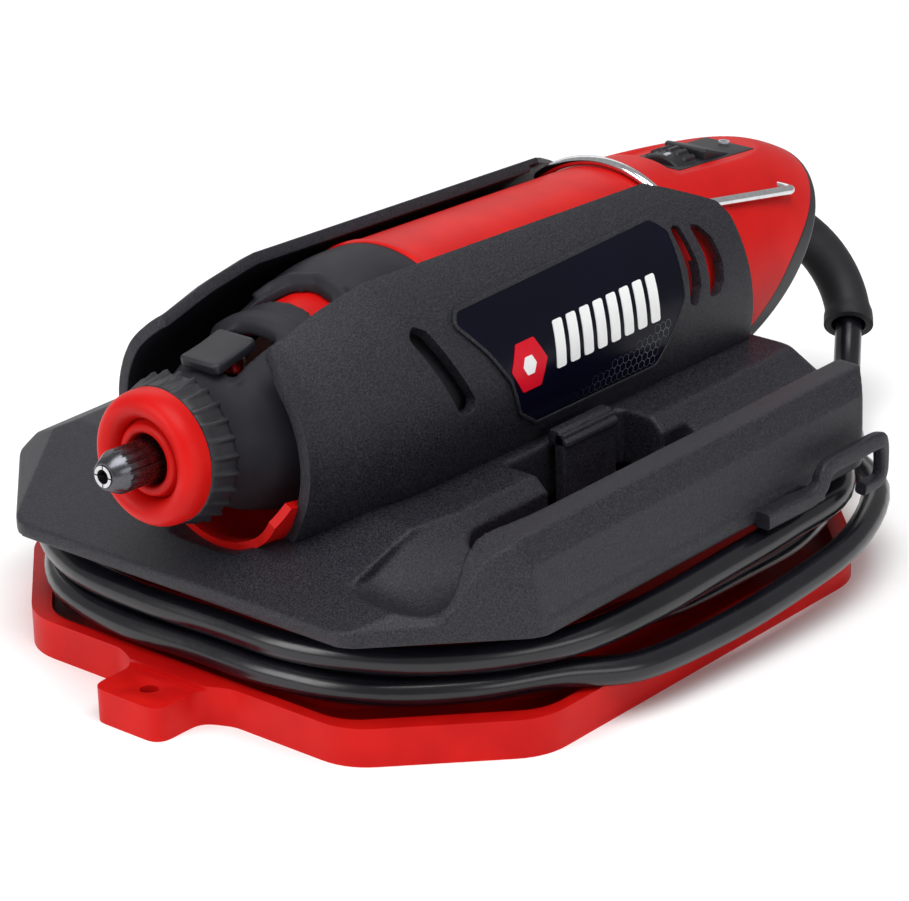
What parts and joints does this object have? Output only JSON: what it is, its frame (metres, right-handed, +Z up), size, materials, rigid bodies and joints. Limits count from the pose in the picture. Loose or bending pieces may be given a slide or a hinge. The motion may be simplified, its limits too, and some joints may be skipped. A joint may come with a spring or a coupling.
{
  "type": "corded rotary hobby tool with docking station",
  "caption": "Red and black corded rotary tool lying in the cradle of an octagonal docking station, with a side trough and the mains lead wound round the station's core.",
  "frame": {"origin": "on the surface the base tray stands on, under the centre of the object's box without the lead", "axes": "+Z up, -X towards the tool's nose, -Y towards the trough and hook side"},
  "size_m": [0.2512, 0.1964, 0.0873],
  "materials": {
    "red_plastic": "fine satin",
    "station_black": "fine sparkle grain",
    "label": "gloss",
    "tool_black": "satin",
    "soft_grip": "soft touch",
    "lead_black": "smooth",
    "steel": "machined",
    "dark_steel": "blackened",
    "chrome": "polished",
    "copper": "enamelled copper",
    "carbon": "pressed carbon",
    "brass": "plain",
    "fan_white": "moulded",
    "board_green": "lacquered"
  },
  "bodies": {
    "station": {"base_tray": "red_plastic", "winding_core": "red_plastic", "station_top": "station_black", "near_cradle": "station_black", "far_cradle": "station_black", "cradle_saddle": "red_plastic", "label_panel": "label", "latch_tab": "station_black", "cord_hook": "station_black", "station_screws": "steel", "cord_lead": "lead_black", "cord_winding": "lead_black", "cord_tail": "lead_black", "plug_body": "lead_black", "plug_pins": "brass"},
    "tool": {"housing_near": "red_plastic", "housing_far": "red_plastic", "soft_grip": "soft_grip", "rear_cap": "tool_black", "strain_relief": "lead_black", "cord_clamp": "tool_black", "housing_screws": "steel", "front_bearing": "steel", "rear_bearing": "steel", "stator": "dark_steel", "field_coils": "copper", "brushes": "carbon", "brush_holders": "brass", "brush_springs": "steel", "control_board": "board_green", "switch_body": "tool_black", "lock_spring": "steel"},
    "nose": {"nose_cap": "red_plastic"},
    "ring": {"ribbed_ring": "tool_black"},
    "rotor": {"spindle": "steel", "fan": "fan_white", "armature": "copper", "commutator": "copper"},
    "collet_part": {"collet": "steel"},
    "nut": {"collet_nut": "dark_steel"},
    "button": {"lock_button": "tool_black"},
    "dial": {"speed_dial": "tool_black"},
    "rocker_part": {"rocker": "tool_black"},
    "bail_part": {"bail": "chrome"}
  },
  "joints": [
    {"name": "tool_slide", "type": "slide", "parent": "station", "child": "tool", "axis": [0.9989, 0, -0.0471], "range_m": [0, 0.045]},
    {"name": "spindle_spin", "type": "hinge", "parent": "tool", "child": "rotor", "pos_m": [-0.11044, 0.00465, 0.0594], "axis": [0.9989, 0, -0.0471], "continuous": true},
    {"name": "collet_slide", "type": "slide", "parent": "rotor", "child": "collet_part", "axis": [-0.9989, 0, 0.0471], "range_m": [0, 0.00225]},
    {"name": "nut_turn", "type": "hinge", "parent": "collet_part", "child": "nut", "pos_m": [-0.11843, 0.00465, 0.05978], "axis": [-0.9989, 0, 0.0471], "range_deg": [0, 1080]},
    {"name": "ring_turn", "type": "hinge", "parent": "tool", "child": "ring", "pos_m": [-0.10545, 0.00465, 0.05916], "axis": [-0.9989, 0, 0.0471], "range_deg": [0, 540]},
    {"name": "nose_slide", "type": "slide", "parent": "tool", "child": "nose", "axis": [-0.9989, 0, 0.0471], "range_m": [0, 0.003]},
    {"name": "lock_button_press", "type": "slide", "parent": "tool", "child": "button", "axis": [-0.0471, 0, -0.9989], "range_m": [0, 0.0028], "stiffness_N_per_m": 400, "springref_m": -0.0005, "deforming": ["lock_spring"]},
    {"name": "dial_turn", "type": "hinge", "parent": "tool", "child": "dial", "pos_m": [0.06624, 0.00465, 0.06969], "axis": [0.9989, 0, -0.0471], "range_deg": [0, 270]},
    {"name": "rocker_tilt", "type": "hinge", "parent": "tool", "child": "rocker_part", "pos_m": [0.07987, 0.00465, 0.07205], "axis": [0, 1, 0], "range_deg": [0, 14]},
    {"name": "bail_swing", "type": "hinge", "parent": "tool", "child": "bail_part", "pos_m": [0.08621, 0.00465, 0.06855], "axis": [0, 1, 0], "range_deg": [0, 155]}
  ],
  "couplings": [
    {"joint": "nut_turn", "follows": "collet_slide", "rad_per_m": 8377.6},
    {"joint": "nose_slide", "follows": "ring_turn", "m_per_rad": 0.000318}
  ]
}
